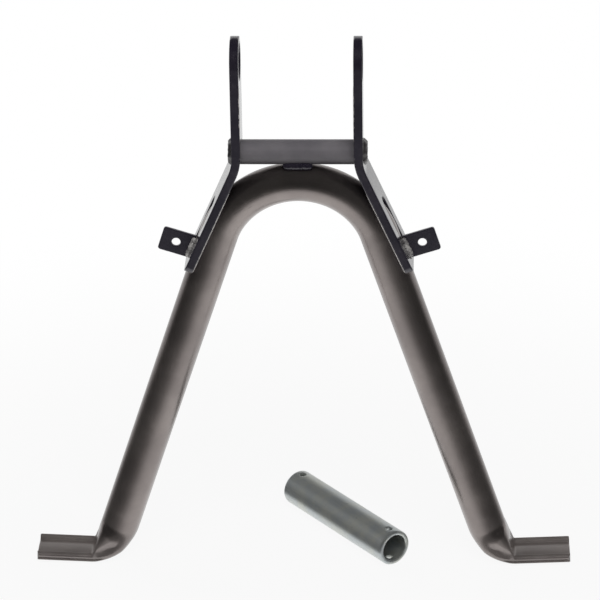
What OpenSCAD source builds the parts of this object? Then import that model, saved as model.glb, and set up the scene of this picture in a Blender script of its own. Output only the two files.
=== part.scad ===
// Centre stand for a moped.
// One bent tube makes the arch, both legs and the pressed feet. Two flat side plates are
// set over the shoulders of the arch and carry the pivot holes, with a round bar between them.
// X runs across the moped, Y points to its rear and Z is up.
// The origin is the middle of the pivot axis.

/* [Leg tube] */
// Outside diameter of the leg tube
tube_d = 22; // [18:0.5:26]
// Wall of the leg tube
tube_wall = 2; // [1.5:0.1:2.5]
// Radius of the arch, to the middle of the tube
arch_r = 48; // [45:0.5:52]
// Angle of each leg from upright
leg_splay = 18.5; // [15:0.5:22]
// Height of the pivot axis over the ground
pivot_height = 311; // [270:1:340]

/* [Feet] */
// Radius of the heel, on its outside
heel_r = 28; // [26:0.5:34]
// Length of the straight part of a foot
foot_len = 32; // [20:0.5:45]
// Width of the pressed foot, front to back
foot_w = 24.5; // [24:0.5:27]
// Height of the foot along its two rolled edges
foot_edge_h = 7.6; // [7:0.1:9]
// Width of the channel pressed along the top of the foot
channel_w = 20; // [18:0.5:21]
// Angle by which the foot rises towards its tip
foot_rise = 3.3; // [0:0.1:6]
// Slit that stays between the two pressed walls
foot_slit = 0.5; // [0.3:0.1:1]
// Stretch of the heel that stays round before the pressing starts
heel_round_len = 3; // [1:0.5:8]
// Length over which the round tube turns into the pressed foot
press_len = 24; // [18:0.5:30]

/* [Side plates] */
// Clear width between the two plates
plate_gap = 63; // [56:0.5:68]
// Thickness of the plates
plate_t = 5; // [4:0.25:6]
// Width of the plates, front to back
plate_w = 28; // [27:0.5:32]
// Angle of the lower part of a plate from upright
plate_splay = 24; // [22:0.5:25]
// Radius of the bend in a plate, on its outside face
plate_bend_r = 25; // [10:0.5:35]
// Depth of the bend under the pivot axis
plate_drop = 59; // [57:0.5:61]
// Length of the slanted part of a plate, from the bend
slant_len = 71; // [68:0.5:78]
// Radius of the lower corners of a plate
plate_corner_r = 4; // [1:0.25:5]
// Width of the welding slot through the plate
slot_w = 9; // [6:0.5:11]
// Length of the welding slot
slot_len = 32; // [20:0.5:34]

/* [Cross bar] */
// Diameter of the bar between the plates
bar_d = 14; // [12:0.5:16]
// Depth of the bar's axis under the pivot axis
bar_drop = 54; // [52:0.5:57]
// Height of the weld cap on each end of the bar
bar_cap_h = 2.6; // [1.5:0.1:3]
// Width by which the weld cap overlaps the plate around the bar
bar_cap_rim = 1; // [0.5:0.1:2]

/* [Spring tabs] */
// Length of a tab from the face of its plate
tab_len = 18.5; // [16:0.5:24]
// Width of a tab
tab_w = 14; // [12:0.5:16]
// Thickness of a tab
tab_t = 2; // [1.5:0.25:3]
// Radius of the outer corners of a tab
tab_corner_r = 1.5; // [0.5:0.25:3]
// Diameter of the spring hole
tab_hole_d = 5; // [4:0.25:6]
// Distance of the spring hole from the outer end of its tab
tab_hole_edge = 9; // [6:0.5:10]
// Distance of the middle of a tab from the lower end of its plate
tab_from_end = 11; // [9:0.5:14]
// Angle by which a tab hangs down from square to its plate
tab_lean = 6; // [0:0.5:10]

/* [Pivot tube] */
// Outside diameter of the pivot tube
pivot_d = 21.3; // [18:0.1:22]
// Wall of the pivot tube
pivot_wall = 2.65; // [2:0.05:3.5]
// Length of the pivot tube
pivot_len = 96; // [85:0.5:105]
// Diameter of the holes across its ends, for split pins
pin_hole_d = 4; // [3:0.25:5]
// Distance of those holes from the ends
pin_hole_edge = 5.5; // [4:0.25:8]
// Bevel at the ends of the pivot tube
pivot_bevel = 0.5; // [0.2:0.1:0.8]
// Play of the pivot tube in the holes of the plates, across
pivot_play = 0.3; // [0.1:0.05:0.6]
// Sideways place of the pivot tube, lying loose between the legs
loose_x = 24; // [10:1:35]
// Place of the loose pivot tube to the rear
loose_y = 28; // [20:1:45]
// Angle of the loose pivot tube to the cross bar
loose_turn = 52; // [40:1:60]

/* [Welding] */
// Gap left between welded pieces
fit_gap = 0.1; // [0.05:0.01:0.15]
// Radius of the beads at the spring tabs
tab_bead_r = 2.2; // [1.5:0.1:3]
// Radius of the beads between the bar and the arch
arch_bead_r = 2.6; // [2:0.1:3.2]
// Length of the beads between the bar and the arch
arch_bead_len = 15; // [8:0.5:20]

/* [Hidden] */
$fn = 72;
tube_r = tube_d / 2;
bar_r = bar_d / 2;
pivot_r = pivot_d / 2;
// Heights are under the pivot axis, so they are negative
ground_z = -pivot_height;
arch_top_z = -bar_drop - bar_r - fit_gap - tube_r;
arch_z = arch_top_z - arch_r;
leg_top = [arch_r * cos(leg_splay), 0, arch_z + arch_r * sin(leg_splay)];
// Middle of the heel bend, on the outer side of the leg
heel_z = ground_z + heel_r;
heel_x = leg_top.x + (leg_top.z - heel_z) * tan(leg_splay) + (heel_r - tube_r) / cos(leg_splay);
leg_end = [heel_x - (heel_r - tube_r) * cos(leg_splay), 0,
           heel_z - (heel_r - tube_r) * sin(leg_splay)];
leg_len = norm(leg_end - leg_top);
// Pressed foot: its section goes around in section_steps points
heel_turn = 90 - leg_splay + foot_rise;
heel_arc = heel_r * heel_turn * PI / 180;
heel_steps = 16;
foot_steps = 3;
section_steps = 36;
press_squareness = 0.45;
// The channel leaves only the slit between the walls; its end and sides slope
channel_depth = foot_edge_h - 2 * tube_wall - foot_slit;
channel_run = 8;
channel_side = 5;
// Joins inside the tube: the arch is thinner by arch_step and runs on into the legs, and a
// pressed end starts inside the wall of its leg and comes out ring_inset short of its faces
arch_step = 0.12;
arch_into = 0.6;
ring_inset = 0.02;
end_into = 2;
past = 1;
// Plates: the bend starts and ends bend_run away from its corner point
bend_in_r = plate_bend_r + plate_t;
bend_steps = 12;
corner_steps = 6;
corner_over = 0.05;
bend_run = bend_in_r * tan(plate_splay / 2);
slot_at = (-plate_drop - arch_z) * cos(plate_splay) - plate_gap / 2 * sin(plate_splay);
tab_at = slant_len - tab_from_end;
plate_out = plate_gap / 2 + plate_t;

function smooth(t) = let (k = min(max(t, 0), 1)) k * k * (3 - 2 * k);
function power(v, p) = sign(v) * pow(abs(v), p);

// Angle turned at a run of s along the outside of the heel, and how far the pressing has gone
function turned(s) = min(max(s, 0), heel_arc) / heel_arc * heel_turn;
function pressed(s) = smooth((s - heel_round_len) / press_len);

// Height of the section over the outside of the heel. The straight outer face of the leg
// runs on down to the foot, which leaves a sharp corner there.
function section_height(s) =
    max(foot_edge_h, heel_r - (heel_r - tube_d) / cos(turned(s)));

// Depth of the channel at a run of s and a distance y from the middle
function channel(s, y) =
    let (side = smooth((abs(y) - channel_w / 2 + channel_side) / channel_side))
    channel_depth * smooth((s - heel_arc + channel_run) / channel_run) * (1 - side);

// One point of the section at a run of s, across and up, at angle a around it.
// inset is 0 on the outside of the tube and its wall on the inside.
function section_point(a, s, inset) =
    let (press = pressed(s),
         half_w = tube_r + (foot_w / 2 - tube_r) * press - inset,
         half_h = section_height(s) / 2 - inset,
         y = half_w * cos(a),
         z = half_h * power(sin(a), 1 + (press_squareness - 1) * press))
    [y, inset + half_h + z - (sin(a) > 0 ? channel(s, y) : 0)];

// A ring of the heel or foot at a run of s, in the frame of the right leg.
// Runs under 0 are still inside the leg. shrink makes the ring smaller.
function ring(s, inset, shrink) =
    let (aim = 180 + leg_splay + turned(s),
         out = [cos(aim), sin(aim)],
         along = [-sin(aim), cos(aim)],
         on = max(s - heel_arc, 0) + min(s, 0))
    [for (i = [0 : section_steps - 1])
        let (p = section_point(360 * i / section_steps, s, inset + shrink),
             flat = [heel_x, heel_z] + out * (heel_r - p[1]) + along * on)
        [flat[0], p[0], flat[1]]];

// How much smaller the first rings are than the faces of the tube
function join_shrink(s) = s < 0 ? tube_wall / 4 : s == 0 ? ring_inset : 0;

// Hollow heel and foot of the right leg: rings down the outside and back up the inside
module pressed_end() {
    runs = concat([-end_into], [for (i = [0 : heel_steps]) heel_arc * i / heel_steps],
                  [for (i = [1 : foot_steps]) heel_arc + foot_len * i / foot_steps]);
    outside = [for (s = runs) ring(s, 0, join_shrink(s))];
    inside = [for (i = [len(runs) - 1 : -1 : 0]) ring(runs[i], tube_wall, -join_shrink(runs[i]))];
    rings = concat(outside, inside);
    m = len(rings);
    n = section_steps;
    quads = [for (j = [0 : m - 1], i = [0 : n - 1])
        let (k = (j + 1) % m, h = (i + 1) % n) [j * n + i, k * n + i, k * n + h, j * n + h]];
    polyhedron(points = [for (r = rings, p = r) p],
               faces = [for (q = quads, half = [[0, 1, 2], [0, 2, 3]]) [for (k = half) q[k]]]);
}

// The arch as a solid round of radius r; it runs on past its ends by the angle into
module arch(r, into) {
    turn = leg_splay - into;
    translate([0, 0, arch_z]) rotate([90, 0, 0]) rotate([0, 0, turn])
        rotate_extrude(angle = 180 - 2 * turn, $fn = 180)
            translate([arch_r, 0]) circle(r, $fn = 72);
}

// Both straight legs as solid rounds of radius r; extra lengthens them
module legs(r, extra) {
    for (side = [0, 1]) mirror([side, 0, 0])
        translate(leg_top) rotate([0, 180 - leg_splay, 0]) cylinder(r = r, h = leg_len + extra);
}

// Room for the tube in what is welded to it
module tube_room() {
    arch(tube_r - arch_step + fit_gap, arch_into);
    legs(tube_r + fit_gap, 0);
}

module leg_tube() {
    color([0.16, 0.15, 0.15]) difference() {
        union() {
            arch(tube_r - arch_step, arch_into);
            legs(tube_r, 0);
        }
        arch(tube_r - tube_wall - arch_step, arch_into);
        legs(tube_r - tube_wall, past);
    }
    color([0.16, 0.15, 0.15]) for (side = [0, 1]) mirror([side, 0, 0]) pressed_end();
}

// Moves children into the slanted part of the right plate:
// X from its inner face outwards, Z up along it from the corner of the bend
module on_slant() {
    translate([plate_gap / 2, 0, -plate_drop]) rotate([0, -plate_splay, 0]) children();
}

// Extrudes a shape drawn in Y and Z by t along X
module slab(t) {
    rotate([90, 0, 90]) linear_extrude(t) children();
}

// Side view of the plate in X and Z, from its bend to its lower end. The bend is round on
// both faces, in bend_steps small turns.
module bent_strip() {
    ear_h = plate_drop - bend_run;
    turns = [for (i = [0 : bend_steps]) plate_splay * i / bend_steps];
    middle = [plate_gap / 2 + bend_in_r, -ear_h];
    down = [sin(plate_splay), -cos(plate_splay)];
    inner = [for (a = turns) middle - bend_in_r * [cos(a), sin(a)]];
    outer = [for (a = turns) middle - plate_bend_r * [cos(a), sin(a)]];
    straight = slant_len - bend_run;
    polygon(concat([[plate_gap / 2, plate_w]], inner, [inner[bend_steps] + straight * down],
                   [outer[bend_steps] + straight * down],
                   [for (i = [bend_steps : -1 : 0]) outer[i]], [[plate_out, plate_w]]));
}

// Everything a bent strip keeps from the front: a round top and square sides
module ear_outline() {
    depth = plate_out + slant_len + past;
    rotate([0, 90, 0]) cylinder(r = plate_w / 2, h = depth);
    translate([0, -plate_w / 2, -plate_drop - slant_len - past])
        cube([depth, plate_w, plate_drop + slant_len + past]);
}

// Material outside the rounded lower corners of the plate
module lower_corners() {
    inner = plate_w / 2 - plate_corner_r + corner_over;
    arc = [for (i = [0 : corner_steps])
        let (a = 90 * i / corner_steps) plate_corner_r * [cos(a), 1 - sin(a)]];
    outside = plate_corner_r + past;
    for (side = [0, 1]) mirror([0, side, 0]) on_slant() translate([-past, 0, 0])
        slab(plate_t + 2 * past) translate([inner, -slant_len - corner_over])
            polygon(concat([[outside, plate_corner_r]], arc, [[0, -past], [outside, -past]]));
}

module plate_blank() {
    difference() {
        intersection() {
            rotate([90, 0, 0]) linear_extrude(plate_w + 2 * past, center = true) bent_strip();
            ear_outline();
        }
        lower_corners();
    }
}

module weld_slot() {
    run = (slot_len - slot_w) / 2;
    on_slant() translate([-past, 0, -slot_at]) slab(plate_t + 2 * past) {
        square([slot_w, 2 * run], center = true);
        for (z = [-run, run]) translate([0, z]) circle(slot_w / 2);
    }
}

// A round rod of radius r across the whole stand, at height z
module across(r, z) {
    translate([-plate_out - past, 0, z]) rotate([0, 90, 0])
        cylinder(r = r, h = 2 * (plate_out + past));
}

module side_plate() {
    color([0.12, 0.12, 0.14]) difference() {
        plate_blank();
        across(pivot_r + pivot_play / 2, 0);
        across(bar_r + fit_gap, -bar_drop);
        weld_slot();
        tube_room();
    }
}

module left_plate() { mirror([1, 0, 0]) side_plate(); }
module right_plate() { side_plate(); }

module cross_bar() {
    color([0.15, 0.15, 0.16]) translate([-plate_out, 0, -bar_drop]) rotate([0, 90, 0])
        cylinder(r = bar_r, h = 2 * plate_out);
}

// Domed weld over the end of the bar, seated on the plate's outer face
module bar_weld() {
    base_r = bar_r + bar_cap_rim;
    dome_r = (base_r * base_r + bar_cap_h * bar_cap_h) / (2 * bar_cap_h);
    color([0.18, 0.18, 0.19]) translate([plate_out + fit_gap, 0, -bar_drop]) intersection() {
        translate([bar_cap_h - dome_r, 0, 0]) sphere(dome_r, $fn = 200);
        rotate([0, 90, 0]) cylinder(r = base_r + past, h = bar_cap_h + past);
    }
}

module left_bar_weld() { mirror([1, 0, 0]) bar_weld(); }
module right_bar_weld() { bar_weld(); }

// A bead of radius r and overall length l along X, with round ends
module bead(r, l) {
    run = l / 2 - r;
    translate([-run, 0, 0]) rotate([0, 90, 0]) cylinder(r = r, h = 2 * run, $fn = 36);
    for (x = [-run, run]) translate([x, 0, 0]) sphere(r, $fn = 36);
}

// Two beads in the hollows between the bar and the top of the arch
module arch_weld() {
    color([0.18, 0.18, 0.19]) difference() {
        for (side = [-1, 1])
            translate([0, side * (arch_bead_r + 2 * fit_gap + 1), arch_top_z + tube_r])
                bead(arch_bead_r, arch_bead_len);
        across(bar_r + fit_gap, -bar_drop);
        tube_room();
    }
}

// Moves children to the root of the right spring tab, X along the tab
module on_tab() {
    on_slant() translate([plate_t, 0, -tab_at]) rotate([0, tab_lean, 0]) children();
}

module tab_outline() {
    inner = tab_w / 2 - tab_corner_r;
    translate([-plate_t / 2, -tab_w / 2]) square([plate_t / 2 + tab_len - tab_corner_r, tab_w]);
    translate([tab_len - 2 * tab_corner_r, -inner]) square([2 * tab_corner_r, 2 * inner]);
    for (z = [-inner, inner]) translate([tab_len - tab_corner_r, z]) circle(tab_corner_r);
}

// Everything from the inner face of the slanted plate to just off its outer face
module slant_keep_out() {
    reach = 2 * slant_len;
    on_slant() translate([-plate_t, -plate_w, -reach])
        cube([2 * plate_t + fit_gap, 2 * plate_w, reach]);
}

module spring_tab() {
    color([0.11, 0.11, 0.14]) difference() {
        on_tab() rotate([90, 0, 0]) linear_extrude(tab_t, center = true) tab_outline();
        slant_keep_out();
        tube_room();
        on_tab() translate([tab_len - tab_hole_edge, 0, 0]) rotate([90, 0, 0])
            cylinder(d = tab_hole_d, h = tab_t + 2 * past, center = true);
    }
}

module left_spring_tab() { mirror([1, 0, 0]) spring_tab(); }
module right_spring_tab() { spring_tab(); }

// A bead on the front and on the back of the tab's root
module tab_weld() {
    color([0.18, 0.18, 0.19]) difference() {
        on_tab() for (side = [-1, 1])
            translate([0, side * (tab_t / 2 + fit_gap), 0]) rotate([0, 90, 0])
                bead(tab_bead_r, tab_w);
        slant_keep_out();
        tube_room();
        on_tab() translate([-plate_t, -tab_t / 2 - fit_gap, -tab_w])
            cube([plate_t + tab_len, tab_t + 2 * fit_gap, 2 * tab_w]);
    }
}

module left_tab_weld() { mirror([1, 0, 0]) tab_weld(); }
module right_tab_weld() { tab_weld(); }

// The pivot tube goes through both plates in use. It comes loose, and lies on the ground.
module pivot_tube() {
    color([0.68, 0.71, 0.72])
    translate([loose_x, loose_y, ground_z + pivot_r]) rotate([0, 0, -loose_turn])
        difference() {
            rotate([0, 90, 0]) rotate_extrude() polygon([
                [pivot_r - pivot_wall, -pivot_len / 2],
                [pivot_r - pivot_bevel, -pivot_len / 2],
                [pivot_r, -pivot_len / 2 + pivot_bevel],
                [pivot_r, pivot_len / 2 - pivot_bevel],
                [pivot_r - pivot_bevel, pivot_len / 2],
                [pivot_r - pivot_wall, pivot_len / 2]]);
            for (side = [-1, 1]) translate([side * (pivot_len / 2 - pin_hole_edge), 0, 0])
                cylinder(d = pin_hole_d, h = 2 * pivot_r + 2 * past, center = true, $fn = 36);
        }
}

leg_tube();
left_plate();
right_plate();
cross_bar();
left_bar_weld();
right_bar_weld();
arch_weld();
left_spring_tab();
right_spring_tab();
left_tab_weld();
right_tab_weld();
pivot_tube();
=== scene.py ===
import math

import bpy
import numpy as np
from mathutils import Matrix, Vector, noise


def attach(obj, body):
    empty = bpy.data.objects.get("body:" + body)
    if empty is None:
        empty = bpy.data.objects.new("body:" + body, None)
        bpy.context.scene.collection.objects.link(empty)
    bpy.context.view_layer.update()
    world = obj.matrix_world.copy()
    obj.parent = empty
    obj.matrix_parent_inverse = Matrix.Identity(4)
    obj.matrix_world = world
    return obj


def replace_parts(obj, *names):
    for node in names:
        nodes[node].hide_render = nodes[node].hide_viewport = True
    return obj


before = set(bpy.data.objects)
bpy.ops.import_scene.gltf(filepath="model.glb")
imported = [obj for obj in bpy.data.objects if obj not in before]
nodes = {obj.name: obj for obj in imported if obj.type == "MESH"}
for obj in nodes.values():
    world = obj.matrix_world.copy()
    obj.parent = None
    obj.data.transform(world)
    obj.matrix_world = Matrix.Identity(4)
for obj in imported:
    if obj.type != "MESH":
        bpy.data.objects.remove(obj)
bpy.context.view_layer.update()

mm = 0.001
root = "root"
print("frame loaded:", len(nodes), "nodes")


class Wire:
    # wraps one output socket, so that masks and heights can be written as sums
    def __init__(self, graph, socket):
        self.graph, self.socket = graph, socket

    def __add__(self, other):
        return self.graph.math("ADD", self, other)

    def __sub__(self, other):
        return self.graph.math("SUBTRACT", self, other)

    def __rsub__(self, other):
        return self.graph.math("SUBTRACT", other, self)

    def __mul__(self, other):
        return self.graph.math("MULTIPLY", self, other)

    __radd__ = __add__
    __rmul__ = __mul__


class Graph:
    def __init__(self, tree):
        self.tree = tree
        tree.nodes.clear()

    def add(self, kind, settings=None, inputs=None, output=0):
        # settings go on first, because they can change which sockets there are
        node = self.tree.nodes.new(kind)
        for name, value in (settings or {}).items():
            if name == "stops":
                ramp = node.color_ramp.elements
                while len(ramp) < len(value):
                    ramp.new(0.5)
                for stop, (place, shade) in zip(ramp, value):
                    stop.position = place
                    stop.color = (*shade, 1) if len(shade) == 3 else shade
            else:
                setattr(node, name, value)
        for name, value in (inputs or {}).items():
            if isinstance(value, Wire):
                self.tree.links.new(value.socket, node.inputs[name])
            else:
                node.inputs[name].default_value = value
        return Wire(self, node.outputs[output]) if len(node.outputs) else node

    def math(self, operation, *values):
        return self.add("ShaderNodeMath", {"operation": operation}, dict(enumerate(values)))

    def place(self):
        return self.add("ShaderNodeTexCoord", output="Object")

    def noise(self, scale, detail=2, roughness=0.5, place=None):
        return self.add("ShaderNodeTexNoise", None,
                        {"Vector": place or self.place(), "Scale": scale, "Detail": detail,
                         "Roughness": roughness}, "Fac")

    def between(self, value, low, high):
        # 0 under low, 1 over high, with a soft step in between
        return self.add("ShaderNodeMapRange", {"interpolation_type": "SMOOTHSTEP"},
                        {"Value": value, "From Min": low, "From Max": high})

    def mix(self, share, first, second):
        def shade(value):
            return value if isinstance(value, Wire) else (*value, 1)
        return self.add("ShaderNodeMix", {"data_type": "RGBA"},
                        {0: share, 6: shade(first), 7: shade(second)}, 2)

    def bump(self, height, strength, distance, under=None):
        inputs = {"Height": height, "Strength": strength, "Distance": distance}
        if under:
            inputs["Normal"] = under
        return self.add("ShaderNodeBump", None, inputs)

    def surface(self, shader):
        self.add("ShaderNodeOutputMaterial", None, {"Surface": shader})


def newMaterial(name):
    material = bpy.data.materials.new(name)
    material.use_nodes = True
    return material, Graph(material.node_tree)


def paintFinish(name, look):
    material, g = newMaterial(name)
    clouds = g.noise(look["cloudScale"], 3, 0.55)
    grain = g.noise(look["grainScale"], 3, 0.6)
    peel = g.noise(look["peelScale"], 2)
    dust = g.between(grain * 0.6 + clouds * 0.4, 0.52, 0.72)
    colour = g.mix(g.between(clouds, 0.3, 0.7), look["deep"], look["lit"])
    colour = g.mix(dust * look["dustShare"], colour, look["dust"])
    # convex edges take the edge colour: partly wear, and where that colour is pale, as on the
    # plates, also a painted highlight for light caught on the edges
    pointed = g.add("ShaderNodeNewGeometry", output="Pointiness")
    edge = g.between(pointed, look["edgeFrom"], look["edgeTo"]) * look["edgeShare"]
    colour = g.mix(edge, colour, look["edge"])
    rough = look["roughness"] + (clouds - 0.5) * look["roughnessSpread"] + dust * 0.08
    waves = g.bump(g.noise(look["waveScale"], 1), look["waveStrength"], 0.0006)
    normal = g.bump(peel + grain * 0.5, look["peelStrength"], 0.00012, waves)
    metal = look["metal"]
    if "feetMetal" in look:
        # the pressed feet are duller than the drawn tube
        height = g.add("ShaderNodeSeparateXYZ", None, {"Vector": g.place()}, "Z")
        drawn = g.between(height, -0.302, -0.290)
        metal = look["feetMetal"] + drawn * (look["metal"] - look["feetMetal"])
    g.surface(g.add("ShaderNodeBsdfPrincipled", None, {
        "Base Color": colour, "Roughness": rough, "Normal": normal,
        "Metallic": metal, "Specular IOR Level": look["specular"],
        "Coat Weight": look["coat"], "Coat Roughness": look["coatRoughness"]}))
    return material


def zincFinish(name, look):
    material, g = newMaterial(name)
    place = g.place()
    along = g.add("ShaderNodeMapping", None,
                  {"Vector": place, "Rotation": (0, 0, math.radians(look["turn"]))})
    drawn = g.add("ShaderNodeMapping", None, {"Vector": along, "Scale": look["drawnScale"]})
    streaks = g.noise(1, 4, 0.65, drawn)
    clouds = g.noise(look["cloudScale"], 3, 0.6, place)
    spangle = g.add("ShaderNodeTexVoronoi", {"feature": "F1"},
                    {"Vector": place, "Scale": look["spangleScale"]}, "Color")
    fleck = g.add("ShaderNodeSeparateColor", None, {"Color": spangle})
    colour = g.mix(g.between(clouds, 0.35, 0.68), look["cool"], look["warm"])
    colour = g.mix(g.between(streaks, 0.45, 0.75) * 0.3, colour, look["pale"])
    speck = g.between(g.noise(look["speckScale"], 2, 0.5, place), 0.68, 0.76)
    colour = g.mix(speck * 0.5, colour, look["speck"])
    rough = look["roughness"] + (clouds - 0.5) * 0.16 + (fleck - 0.5) * 0.07 + speck * 0.1
    normal = g.bump(streaks + fleck * 0.15, look["bump"], 0.00008)
    g.surface(g.add("ShaderNodeBsdfPrincipled", None, {
        "Base Color": colour, "Roughness": rough, "Normal": normal, "Metallic": look["metal"]}))
    return material


tubePaint = paintFinish("tubePaint", {
    "deep": (0.250, 0.218, 0.208), "lit": (0.330, 0.290, 0.275), "dust": (0.40, 0.355, 0.335),
    "dustShare": 0.25, "cloudScale": 38, "grainScale": 420, "peelScale": 900,
    "waveScale": 60, "waveStrength": 0.12, "peelStrength": 0.22,
    "edge": (0.22, 0.20, 0.19), "edgeFrom": 0.53, "edgeTo": 0.62, "edgeShare": 0.5,
    "roughness": 0.33, "roughnessSpread": 0.10, "metal": 0.95, "feetMetal": 0.5, "specular": 0.5,
    "coat": 0.6, "coatRoughness": 0.16})

platePaint = paintFinish("platePaint", {
    "deep": (0.013, 0.010, 0.024), "lit": (0.026, 0.021, 0.036), "dust": (0.11, 0.10, 0.115),
    "dustShare": 0.2, "cloudScale": 55, "grainScale": 380, "peelScale": 800,
    "waveScale": 90, "waveStrength": 0.15, "peelStrength": 0.25,
    "edge": (0.42, 0.40, 0.38), "edgeFrom": 0.54, "edgeTo": 0.60, "edgeShare": 0.55,
    "roughness": 0.34, "roughnessSpread": 0.12, "metal": 0.15, "specular": 0.6,
    "coat": 1.0, "coatRoughness": 0.09})

# a lighter copy of the black paint: painted reflection, standing for the light that the bar's
# upper half reflects
barPaintedSheen = paintFinish("barPaintedSheen", {
    "deep": (0.165, 0.155, 0.170), "lit": (0.220, 0.208, 0.222), "dust": (0.28, 0.27, 0.27),
    "dustShare": 0.2, "cloudScale": 55, "grainScale": 380, "peelScale": 800,
    "waveScale": 90, "waveStrength": 0.15, "peelStrength": 0.25,
    "edge": (0.42, 0.40, 0.38), "edgeFrom": 0.54, "edgeTo": 0.60, "edgeShare": 0.4,
    "roughness": 0.45, "roughnessSpread": 0.12, "metal": 0.0, "specular": 0.3,
    "coat": 0.1, "coatRoughness": 0.3})

weldPaint = paintFinish("weldPaint", {
    "deep": (0.040, 0.036, 0.042), "lit": (0.085, 0.078, 0.080), "dust": (0.20, 0.19, 0.18),
    "dustShare": 0.4, "cloudScale": 160, "grainScale": 700, "peelScale": 1500,
    "waveScale": 300, "waveStrength": 0.4, "peelStrength": 0.4,
    "edge": (0.35, 0.33, 0.32), "edgeFrom": 0.52, "edgeTo": 0.60, "edgeShare": 0.6,
    "roughness": 0.42, "roughnessSpread": 0.2, "metal": 0.3, "specular": 0.6,
    "coat": 0.35, "coatRoughness": 0.2})

# bare weld metal and spatter; its near-white blotches are also painted glints, standing for the
# shine of the bare metal
bareWeldAndPaintedGlints = paintFinish("bareWeldAndPaintedGlints", {
    "deep": (0.07, 0.065, 0.075), "lit": (0.92, 0.89, 0.86), "dust": (0.85, 0.82, 0.78),
    "dustShare": 0.3, "cloudScale": 300, "grainScale": 900, "peelScale": 1600,
    "waveScale": 350, "waveStrength": 0.5, "peelStrength": 0.4,
    "edge": (0.7, 0.68, 0.65), "edgeFrom": 0.52, "edgeTo": 0.60, "edgeShare": 0.6,
    "roughness": 0.30, "roughnessSpread": 0.2, "metal": 0.35, "specular": 0.8,
    "coat": 0.8, "coatRoughness": 0.1})

zincPlate = zincFinish("zincPlate", {
    "cool": (0.56, 0.60, 0.61), "warm": (0.66, 0.68, 0.63), "pale": (0.80, 0.81, 0.78),
    "speck": (0.36, 0.38, 0.38), "turn": 52, "drawnScale": (40, 900, 900),
    "cloudScale": 75, "spangleScale": 900, "speckScale": 500, "roughness": 0.34, "bump": 0.18,
    "metal": 0.78})
print("finishes made")


def newPiece(name, points, faces, material, slot):
    mesh = bpy.data.meshes.new(name)
    mesh.from_pydata([tuple(p) for p in np.asarray(points, float) * mm], [], faces)
    mesh.update()
    piece = bpy.data.objects.new(name, mesh)
    bpy.context.scene.collection.objects.link(piece)
    mesh.materials.append(material)
    mesh.shade_smooth()
    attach(piece, root)
    return piece


def ringFaces(rings, around, closed):
    # quads between rings of points; a closed row joins its last ring to its first
    faces = []
    for j in range(rings if closed else rings - 1):
        k = (j + 1) % rings
        for i in range(around):
            h = (i + 1) % around
            faces.append((j * around + i, k * around + i, k * around + h, j * around + h))
    return faces


def lump(point, scale, seed=0.0):
    return noise.noise(Vector(point) * scale + Vector((seed, seed * 0.7, -seed)))


def smooth(t):
    k = np.clip(t, 0, 1)
    return k * k * (3 - 2 * k)


# arch, legs, heels and pressed feet are one swept tube, in mm
legTube = {
    "radius": 11.0, "wall": 2.0, "archRadius": 48.0, "splay": 18.5, "pivotHeight": 311.0,
    "barDrop": 54.0, "barRadius": 7.0, "fitGap": 0.1, "archThinner": 0.12, "archEase": 0.15,
    "heelRadius": 28.0, "footLength": 32.0, "footWidth": 24.5, "footEdge": 7.6, "footRise": 2.4,
    "slit": 0.5, "roundLength": 2.0, "pressLength": 15.0, "squareness": 0.45, "squareLow": 0.28,
    "channelWidth": 21.0, "channelRun": 8.0, "channelSide": 3.2,
    "around": 144, "crowding": 0.33,
    "grooveAt": 22.5, "grooveRun": 6.5, "grooveHeight": 7.6, "grooveWide": 1.7, "grooveDeep": 2.3,
    "foldFrom": 24.0, "foldRun": 8.0, "foldAt": 0.40, "foldWide": 0.6, "foldDeep": 0.75,
    "seamAt": 0.70, "seamWide": 0.28, "seamDeep": 0.3,
    "tipRound": 1.2, "tipReach": 5.0, "cutEase": 0.18}


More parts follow.
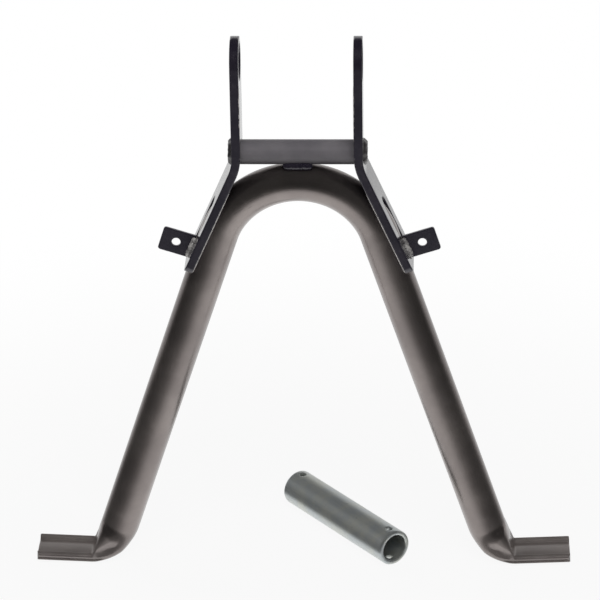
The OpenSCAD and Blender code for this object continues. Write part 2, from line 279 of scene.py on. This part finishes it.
def buildLegTube(t):
    r, wall, splay = t["radius"], t["wall"], math.radians(t["splay"])
    archZ = -t["barDrop"] - t["barRadius"] - t["fitGap"] - r - t["archRadius"]
    legTop = np.array([t["archRadius"] * math.cos(splay),
                       archZ + t["archRadius"] * math.sin(splay)])
    heelZ = -t["pivotHeight"] + t["heelRadius"]
    heelX = (legTop[0] + (legTop[1] - heelZ) * math.tan(splay)
             + (t["heelRadius"] - r) / math.cos(splay))
    heelTurn = math.radians(90 - t["splay"] + t["footRise"])
    heelRun = t["heelRadius"] * heelTurn
    legEnd = np.array([heelX - (t["heelRadius"] - r) * math.cos(splay),
                       heelZ - (t["heelRadius"] - r) * math.sin(splay)])
    legLength = float(np.linalg.norm(legEnd - legTop))
    channelDepth = t["footEdge"] - 2 * wall - t["slit"]
    angles = 2 * math.pi * np.arange(t["around"]) / t["around"]
    # points lie closer together where the pressed foot turns over at its edges
    angles = angles - t["crowding"] * np.sin(2 * angles)
    cosA, sinA = np.cos(angles), np.sin(angles)

    def section(run, inset, radius):
        # across the tube and up from its outer side, as in the frame's own solid
        press = float(smooth((run - t["roundLength"]) / t["pressLength"]))
        turn = min(max(run, 0), heelRun) / t["heelRadius"]
        height = max(t["footEdge"], t["heelRadius"] - (t["heelRadius"] - 2 * r) / math.cos(turn))
        halfWidth = radius + (t["footWidth"] / 2 - radius) * press - inset
        halfHeight = height / 2 - (r - radius) - inset
        across = halfWidth * cosA
        low = np.clip(t["squareness"] * t["footEdge"] / height, t["squareLow"], t["squareness"])
        power = 1 + (np.where(sinA < 0, low, t["squareness"]) - 1) * press
        up = halfHeight * np.sign(sinA) * np.abs(sinA) ** power
        side = smooth((np.abs(across) - t["channelWidth"] / 2 + t["channelSide"])
                      / t["channelSide"])
        sunk = float(smooth((run - heelRun + t["channelRun"]) / t["channelRun"]))
        up = up + inset + halfHeight + (r - radius) - (sinA > 0) * channelDepth * sunk * (1 - side)
        if inset == 0:
            # the buckle over each rolled edge, and the fine seam along it
            lean = np.exp(-((run - t["grooveAt"]) / t["grooveRun"]) ** 2
                          - ((up - t["grooveHeight"]) / t["grooveWide"]) ** 2) * t["grooveDeep"]
            late = float(smooth((run - t["foldFrom"]) / t["foldRun"]))
            for line in ("fold", "seam"):
                off = (up - t[line + "At"] * t["footEdge"]) / t[line + "Wide"]
                lean = lean + np.exp(-off ** 2) * t[line + "Deep"] * late
            across = across - np.sign(across) * lean * (np.abs(cosA) > 0.4)
        return across, up

    def legRing(run, inset):
        across, up = section(run, inset, r)
        turn = min(max(run, 0), heelRun) / heelRun * heelTurn
        aim = math.pi + splay + turn
        on = max(run - heelRun, 0) + min(run, 0)
        x = heelX + math.cos(aim) * (t["heelRadius"] - up) - math.sin(aim) * on
        z = heelZ + math.sin(aim) * (t["heelRadius"] - up) + math.cos(aim) * on
        return np.stack([x, across, z], 1)

    def archRing(angle, inset):
        radius = r - t["archThinner"] * float(smooth((angle - splay) / t["archEase"]))
        across, up = section(0, inset, radius)
        reach = t["archRadius"] - r + up
        return np.stack([math.cos(angle) * reach, across, archZ + math.sin(angle) * reach], 1)

    def mirrored(ring):
        # the other side has the same points in the same order around
        return ring * np.array([-1, 1, 1])

    end = heelRun + t["footLength"]
    runs = np.concatenate([np.linspace(-legLength, 0, 40)[1:], np.linspace(0, heelRun, 49)[1:],
                           np.linspace(heelRun, end, 26)[1:-1], [end - 0.5, end - 0.12]])
    archAngles = np.linspace(math.pi / 2, splay, 41)

    def half(inset, last):
        rings = [archRing(a, inset) for a in archAngles] + [legRing(s, inset) for s in runs]
        rings.append(legRing(last, inset))
        return rings

    outer, inner = half(0, end), half(wall, end)
    # the cut edge of the wall is eased a little, less so on its inside
    for k, ease in ((-2, 0.35), (-1, 1.0)):
        away = (outer[k] + inner[k]) / 2 - outer[k]
        away = away / np.linalg.norm(away, axis=1)[:, None] * t["cutEase"] * ease
        outer[k] = outer[k] + away
        inner[k] = inner[k] - away * 0.4
    left = [mirrored(ring) for ring in outer[:0:-1]]
    leftIn = [mirrored(ring) for ring in inner[:0:-1]]
    outside = left + outer
    inside = (leftIn + inner)[::-1]
    rings = outside + inside
    points = np.concatenate(rings)
    # corners of the tips are eased in plan: points far across and near the end move back
    for side in (-1, 1):
        tip = legRing(end, 0).mean(0) * np.array([side, 1, 1])
        out = points[:, 0] * side - tip[0] * side + t["tipReach"]
        share = np.clip(out / t["tipReach"], 0, 1)
        corner = t["tipRound"] * 2.2
        over = np.clip(np.abs(points[:, 1]) - (t["footWidth"] / 2 - corner), 0, None)
        points[:, 0] -= side * share * over ** 2 / (2 * corner)
    faces = ringFaces(len(rings), t["around"], True)
    piece = newPiece("legTubeBent", points, faces, tubePaint, "black_paint")
    piece.data.flip_normals()
    return piece


legPiece = buildLegTube(legTube)
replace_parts(legPiece, "leg_tube")
print("leg tube made:", len(legPiece.data.polygons), "faces")


def easeEdges(node, voxel, rounds, material, slot):
    piece = nodes[node]
    remesh = piece.modifiers.new("easedSkin", "REMESH")
    remesh.mode = "VOXEL"
    remesh.voxel_size = voxel * mm
    remesh.use_smooth_shade = True
    soften = piece.modifiers.new("easedEdges", "SMOOTH")
    soften.factor = 0.5
    soften.iterations = rounds
    piece.data.materials.clear()
    piece.data.materials.append(material)


easedParts = {
    "left_plate": (0.5, 4, platePaint, "black_paint"),
    "right_plate": (0.5, 4, platePaint, "black_paint"),
    "left_spring_tab": (0.25, 3, platePaint, "black_paint"),
    "right_spring_tab": (0.25, 3, platePaint, "black_paint"),
    "cross_bar": (0.45, 2, barPaintedSheen, "black_paint"),
    "pivot_tube": (0.5, 2, zincPlate, "zinc")}
for name, how in easedParts.items():
    easeEdges(name, *how)
print("frame parts dressed")


barWeld = {"out": 36.6, "drop": 54.0, "radius": 8.0, "height": 2.6, "rings": 22, "around": 84,
           "ridgeAt": 0.72, "ridgeWide": 0.24, "ridge": 0.62, "body": 0.3, "lumps": 0.35}


def buildBarWeld(side, w):
    points, faces = [], []
    n = w["around"]
    for j in range(w["rings"] + 1):
        share = j / w["rings"]
        for i in range(n):
            a = 2 * math.pi * i / n
            ripple = 1 + 0.05 * math.sin(7 * a + side) + 0.03 * math.sin(3 * a)
            radius = w["radius"] * share * ripple * (0.98 - 0.02 * side)
            ridge = math.exp(-((share - w["ridgeAt"]) / w["ridgeWide"]) ** 2)
            height = w["height"] * (w["ridge"] * ridge + w["body"] * (1 - share ** 6))
            height *= 1 if j < w["rings"] else 0
            y, z = radius * math.cos(a), radius * math.sin(a)
            height += w["lumps"] * lump((y, z, side * 5), 0.55) * (1 - share ** 8)
            points.append((side * (w["out"] + max(height, 0)), y, z - w["drop"]))
    for j in range(w["rings"]):
        for i in range(n):
            h = (i + 1) % n
            faces.append((j * n + i, j * n + h, (j + 1) * n + h, (j + 1) * n + i))
    faces.append(tuple(w["rings"] * n + i for i in range(n))[::-1])
    if side < 0:
        faces = [f[::-1] for f in faces]
    return points, faces


def beadMesh(path, radius, seed, ripples, around=28):
    # a weld bead: a fat line with scale-like ripples, thin at both ends
    path = [Vector(p) for p in path]
    count = len(path)
    points = []
    for j, centre in enumerate(path):
        share = j / (count - 1)
        ahead = (path[min(j + 1, count - 1)] - path[max(j - 1, 0)]).normalized()
        side = ahead.cross(Vector((0.3, 0.2, 1))).normalized()
        up = side.cross(ahead).normalized()
        body = math.sqrt(max(1 - (2 * share - 1) ** 6, 0.0)) * 0.93 + 0.05
        scale = abs(((share * ripples + seed) % 1) - 0.5) * 0.16
        for i in range(around):
            a = 2 * math.pi * i / around
            way = side * math.cos(a) + up * math.sin(a)
            out = radius * (body + scale * body) * (1 + 0.14 * lump(centre + way, 0.7, seed))
            points.append(centre + way * out)
    faces = ringFaces(count, around, False)
    faces.append(tuple(range(around))[::-1])
    faces.append(tuple((count - 1) * around + i for i in range(around)))
    return points, faces


def blob(centre, radii, seed, rows=8, around=12):
    # one uneven drop of weld metal
    points = [Vector(centre) + Vector((0, 0, radii[2]))]
    for j in range(1, rows):
        b = math.pi * j / rows
        for i in range(around):
            a = 2 * math.pi * i / around
            way = Vector((math.sin(b) * math.cos(a), math.sin(b) * math.sin(a), math.cos(b)))
            grow = 1 + 0.22 * lump(way, 1.6, seed)
            points.append(Vector(centre) + Vector([way[k] * radii[k] * grow for k in range(3)]))
    points.append(Vector(centre) - Vector((0, 0, radii[2])))
    last = len(points) - 1
    faces = []
    for i in range(around):
        h = (i + 1) % around
        faces.append((0, 1 + i, 1 + h))
        faces.append((last, last - around + h, last - around + i))
        for j in range(rows - 2):
            a, b = 1 + j * around, 1 + (j + 1) * around
            faces.append((a + i, b + i, b + h, a + h))
    return points, faces


def joined(parts):
    points, faces = [], []
    for some, those in parts:
        base = len(points)
        points += [tuple(p) for p in some]
        faces += [tuple(base + k for k in f) for f in those]
    return points, faces


for side, name in ((-1, "left_bar_weld"), (1, "right_bar_weld")):
    label = "barWeld" + ("Left" if side < 0 else "Right")
    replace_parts(newPiece(label, *buildBarWeld(side, barWeld), weldPaint, "weld"), name)

archWeld = {"length": 17.0, "radius": 2.5, "out": 4.0, "height": -61.0, "sag": 0.2, "steps": 60}
beads = []
for front in (-1, 1):
    path = [((k / archWeld["steps"] - 0.5) * archWeld["length"], front * archWeld["out"],
             archWeld["height"] - archWeld["sag"] * (k / archWeld["steps"] - 0.5) ** 2)
            for k in range(archWeld["steps"] + 1)]
    beads.append(beadMesh(path, archWeld["radius"], 0.3 * front + 1, 10))
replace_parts(newPiece("archWeldBeads", *joined(beads), platePaint, "weld"), "arch_weld")

# the slanted lower part of a plate, as the frame has it
slant = {"gap": 63.0, "drop": 59.0, "splay": 24.0}


def slantPlace(side, along, across, out):
    # along the slant from the corner of its bend, across to the rear, out from its inner face
    splay = math.radians(slant["splay"])
    x = slant["gap"] / 2 + math.sin(splay) * along + math.cos(splay) * out
    z = -slant["drop"] - math.cos(splay) * along + math.sin(splay) * out
    return Vector((side * x, across, z))


tabWeld = {"at": 60.0, "plate": 5.0, "proud": 0.5, "length": 12.5, "radius": 1.76, "apart": 1.7,
           "steps": 44, "ripples": 7, "drops": 14, "dropsAlong": 12.0, "dropsFrom": 2.4,
           "dropsOver": 3.2, "dropProud": 0.1, "dropSize": 0.35, "dropGrow": 0.7}


def buildTabWeld(side, w):
    parts = []
    for front in (-1, 1):
        path = [slantPlace(side, w["at"] - (k / w["steps"] - 0.5) * w["length"],
                           front * w["apart"], w["plate"] + w["proud"])
                for k in range(w["steps"] + 1)]
        parts.append(beadMesh(path, w["radius"], 0.4 * front + side, w["ripples"]))
    # spatter around the root of the tab
    for k in range(w["drops"]):
        along = w["dropsAlong"] * lump((k * 3.7, side, 2.0), 1.0)
        off = w["dropsFrom"] + w["dropsOver"] * abs(lump((k, 5.1, side), 1.3))
        across = (-1 if k % 3 else 1) * off
        size = w["dropSize"] + w["dropGrow"] * abs(lump((side, k * 1.9, 0.5), 1.1))
        centre = slantPlace(side, w["at"] - along, across, w["plate"] + w["dropProud"])
        parts.append(blob(centre, (size, size * 1.1, size), k))
    return joined(parts)


for side, name in ((-1, "left_tab_weld"), (1, "right_tab_weld")):
    label = "tabWeld" + ("Left" if side < 0 else "Right")
    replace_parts(newPiece(label, *buildTabWeld(side, tabWeld), bareWeldAndPaintedGlints, "weld"), name)
print("welds made")

# painted highlight: a pale line along the inner front edge of each plate, and across its lower
# end, standing for light caught on the bevel of that edge
paintedEdgeHighlight = paintFinish("paintedEdgeHighlight", {
    "deep": (0.55, 0.52, 0.50), "lit": (0.85, 0.82, 0.79), "dust": (0.8, 0.77, 0.74),
    "dustShare": 0.3, "cloudScale": 260, "grainScale": 900, "peelScale": 1600,
    "waveScale": 350, "waveStrength": 0.3, "peelStrength": 0.3,
    "edge": (0.7, 0.68, 0.65), "edgeFrom": 0.52, "edgeTo": 0.60, "edgeShare": 0.3,
    "roughness": 0.40, "roughnessSpread": 0.2, "metal": 0.0, "specular": 0.6,
    "coat": 0.4, "coatRoughness": 0.15})

edgeHighlightLine = {"radius": 0.44, "in": 0.25, "sunk": 0.46, "front": 14.0,
            "from": 14.0, "length": 71.0, "corner": 4.0, "turn": (4, 28), "across": (0.7, 4.6),
            "earTop": -8.0, "earEnd": -44.0}


def buildEdgeHighlightLine(side, w):
    inner = w["front"] - w["sunk"]
    straight = w["length"] - w["corner"]
    reach = w["corner"] - w["sunk"]
    path = [slantPlace(side, s, -inner, w["in"]) for s in np.linspace(w["from"], straight, 60)]
    for a in np.radians(np.linspace(*w["turn"], 6)):
        last = straight + reach * math.sin(a)
        back = w["front"] - w["corner"] + reach * math.cos(a)
        path.append(slantPlace(side, last, -back, w["in"]))
    path += [slantPlace(side, last, -back, out) for out in np.linspace(*w["across"], 8)]
    ear = [Vector((side * (slant["gap"] / 2 + w["in"]), -inner, z))
           for z in np.linspace(w["earTop"], w["earEnd"], 40)]
    return joined([beadMesh(path, w["radius"], 0.5, 30, around=10),
                   beadMesh(ear, w["radius"], 0.8, 20, around=10)])


# one painted highlight line on each plate
for side, name in ((-1, "edgeHighlightLineLeft"), (1, "edgeHighlightLineRight")):
    newPiece(name, *buildEdgeHighlightLine(side, edgeHighlightLine), paintedEdgeHighlight, "black_paint")
print("edge highlight lines made")


floorLook = {"white": 0.92, "whiteFrom": 0.3, "whiteTo": 0.6, "matt": (0.6, 0.6, 0.6, 1),
             "dim": 0.09, "steepFrom": 0.38, "steepTo": 0.62,
             "behindFrom": 0.3, "behindTo": 0.9, "behindShare": 0.8}


def rayKinds(g):
    return [g.add("ShaderNodeLightPath", output=name)
            for name in ("Is Camera Ray", "Is Glossy Ray", "Is Transmission Ray")]


def floorFinish(look):
    material, g = newMaterial("paleFloor")
    seen, glossy, through = rayKinds(g)
    far = g.add("ShaderNodeVectorMath", {"operation": "LENGTH"}, {0: g.place()}, "Value")
    incoming = g.add("ShaderNodeNewGeometry", output="Incoming")
    depth = g.add("ShaderNodeSeparateXYZ", None, {"Vector": incoming}, "Y")
    steep = g.add("ShaderNodeSeparateXYZ", None, {"Vector": incoming}, "Z")
    fade = g.between(far, look["whiteFrom"], look["whiteTo"])
    share = g.math("MAXIMUM", seen, through) * (look["white"] + (1 - look["white"]) * fade)
    matt = g.add("ShaderNodeBsdfDiffuse", None, {"Color": look["matt"]})
    white, dim = [g.add("ShaderNodeEmission", None, {"Color": (1, 1, 1, 1), "Strength": strength})
                  for strength in (1.0, look["dim"])]
    # gloss sees the white sheet under and behind the stand, and a dim room in front of it
    behind = g.between(depth * -1, look["behindFrom"], look["behindTo"]) * look["behindShare"]
    sheet = g.math("MAXIMUM", g.between(steep, look["steepFrom"], look["steepTo"]), behind)
    mirrored = g.add("ShaderNodeMixShader", None, {0: sheet, 1: dim, 2: white})
    under = g.add("ShaderNodeMixShader", None, {0: glossy, 1: matt, 2: mirrored})
    g.surface(g.add("ShaderNodeMixShader", None, {0: share, 1: under, 2: white}))
    return material


studio = {"floor": -311.0, "floorRadius": 900.0, "skyDark": 0.045, "skyBehind": 0.62,
          "paleTo": 0.35, "dimFrom": 0.62, "frontTo": 0.1, "behindFrom": 0.5,
          "skyFill": 0.16,
          "keyPlace": (0.15, -1.0, 1.25), "keySize": (0.9, 1.1), "keyPower": 14.0,
          "rimPlace": (-0.9, 0.9, 0.9), "rimSize": (0.8, 0.8), "rimPower": 3.0}

ring = [(math.cos(2 * math.pi * k / 96), math.sin(2 * math.pi * k / 96)) for k in range(96)]
floorMesh = bpy.data.meshes.new("floor")
floorMesh.from_pydata([(x * studio["floorRadius"] * mm, y * studio["floorRadius"] * mm,
                        studio["floor"] * mm) for x, y in ring], [], [tuple(range(96))])
floor = bpy.data.objects.new("floor", floorMesh)
bpy.context.scene.collection.objects.link(floor)
floorMesh.materials.append(floorFinish(floorLook))

world = bpy.data.worlds.new("softRoom")
world.use_nodes = True
bpy.context.scene.world = world
g = Graph(world.node_tree)
seen, glossy, through = rayKinds(g)
way = g.add("ShaderNodeTexCoord", output="Generated")
height = g.add("ShaderNodeSeparateXYZ", None, {"Vector": way}, "Z")
depth = g.add("ShaderNodeSeparateXYZ", None, {"Vector": way}, "Y")
# what gloss sees: pale low down behind the stand, and a dim room above and in front
pale = ((1 - g.between(height, studio["paleTo"], studio["dimFrom"]))
        * g.between(depth, studio["frontTo"], studio["behindFrom"]))
room = pale * studio["skyBehind"] + studio["skyDark"]
other = g.math("MAXIMUM", glossy, through)
strength = seen * 1.0 + (1 - seen) * (other * room + (1 - other) * studio["skyFill"])
sky = g.add("ShaderNodeBackground", None, {"Color": (1, 1, 1, 1), "Strength": strength})
g.add("ShaderNodeOutputWorld", None, {"Surface": sky})


def softLamp(name, place, size, power, aim):
    data = bpy.data.lights.new(name, "AREA")
    data.shape = "RECTANGLE"
    data.size, data.size_y = size
    data.energy = power
    lamp = bpy.data.objects.new(name, data)
    bpy.context.scene.collection.objects.link(lamp)
    lamp.location = place
    lamp.visible_glossy = False
    lamp.rotation_euler = (Vector(aim) - Vector(place)).to_track_quat("-Z", "Y").to_euler()
    return lamp


softLamp("key", studio["keyPlace"], studio["keySize"], studio["keyPower"], (0, 0, -0.12))
softLamp("rim", studio["rimPlace"], studio["rimSize"], studio["rimPower"], (0, 0, -0.15))

view = {"distance": 2.0, "elevation": 25.0, "yaw": 2.3, "roll": -0.85, "aim": (0, 0, -0.1452),
        "focalPixels": 3518, "imagePixels": 600, "sensor": 36}
yaw, lift = math.radians(view["yaw"]), math.radians(view["elevation"])
back = Vector((math.sin(yaw) * math.cos(lift), -math.cos(yaw) * math.cos(lift), math.sin(lift)))
cameraData = bpy.data.cameras.new("camera")
cameraData.lens = view["focalPixels"] / view["imagePixels"] * view["sensor"]
cameraData.sensor_width = view["sensor"]
camera = bpy.data.objects.new("camera", cameraData)
bpy.context.scene.collection.objects.link(camera)
turned = (-back).to_track_quat("-Z", "Y").to_matrix()
turned = turned @ Matrix.Rotation(math.radians(view["roll"]), 3, "Z")
place = Matrix.Translation(Vector(view["aim"]) + back * view["distance"])
camera.matrix_world = place @ turned.to_4x4()
bpy.context.scene.camera = camera
bpy.context.scene.view_settings.view_transform = "Standard"
print("studio made")
